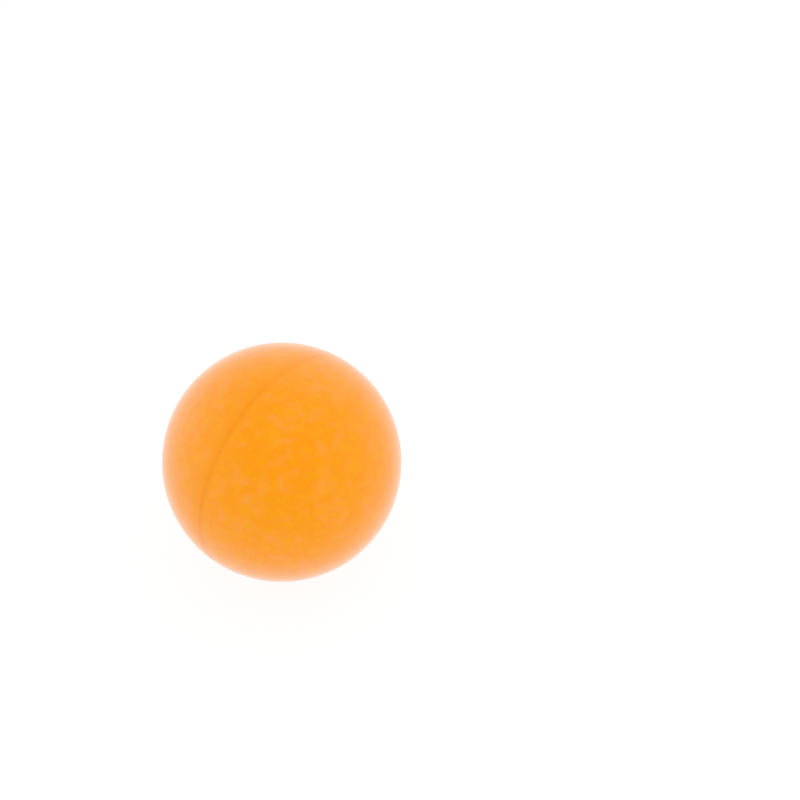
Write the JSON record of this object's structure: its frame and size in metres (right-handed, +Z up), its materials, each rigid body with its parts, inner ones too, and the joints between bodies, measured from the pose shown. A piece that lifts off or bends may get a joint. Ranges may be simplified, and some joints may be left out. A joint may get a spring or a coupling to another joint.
{
  "type": "table tennis ball",
  "caption": "Hollow round ball of thin matte orange plastic, moulded as half shells and glued at a lapped seam, for playing table tennis.",
  "frame": {"origin": "centre of the ball", "axes": "+X along the seam axis, from the socket half to the spigot half, so the seam lies in the plane X = 0; +Z up, away from the surface that the ball lies on"},
  "size_m": [0.04, 0.04, 0.04],
  "materials": {
    "shell_plastic": "matte",
    "seam_glue": "satin"
  },
  "bodies": {
    "root": {"spigot_half_shell": "shell_plastic", "socket_half_shell": "shell_plastic", "seam_glue_ring": "seam_glue"}
  },
  "joints": []
}
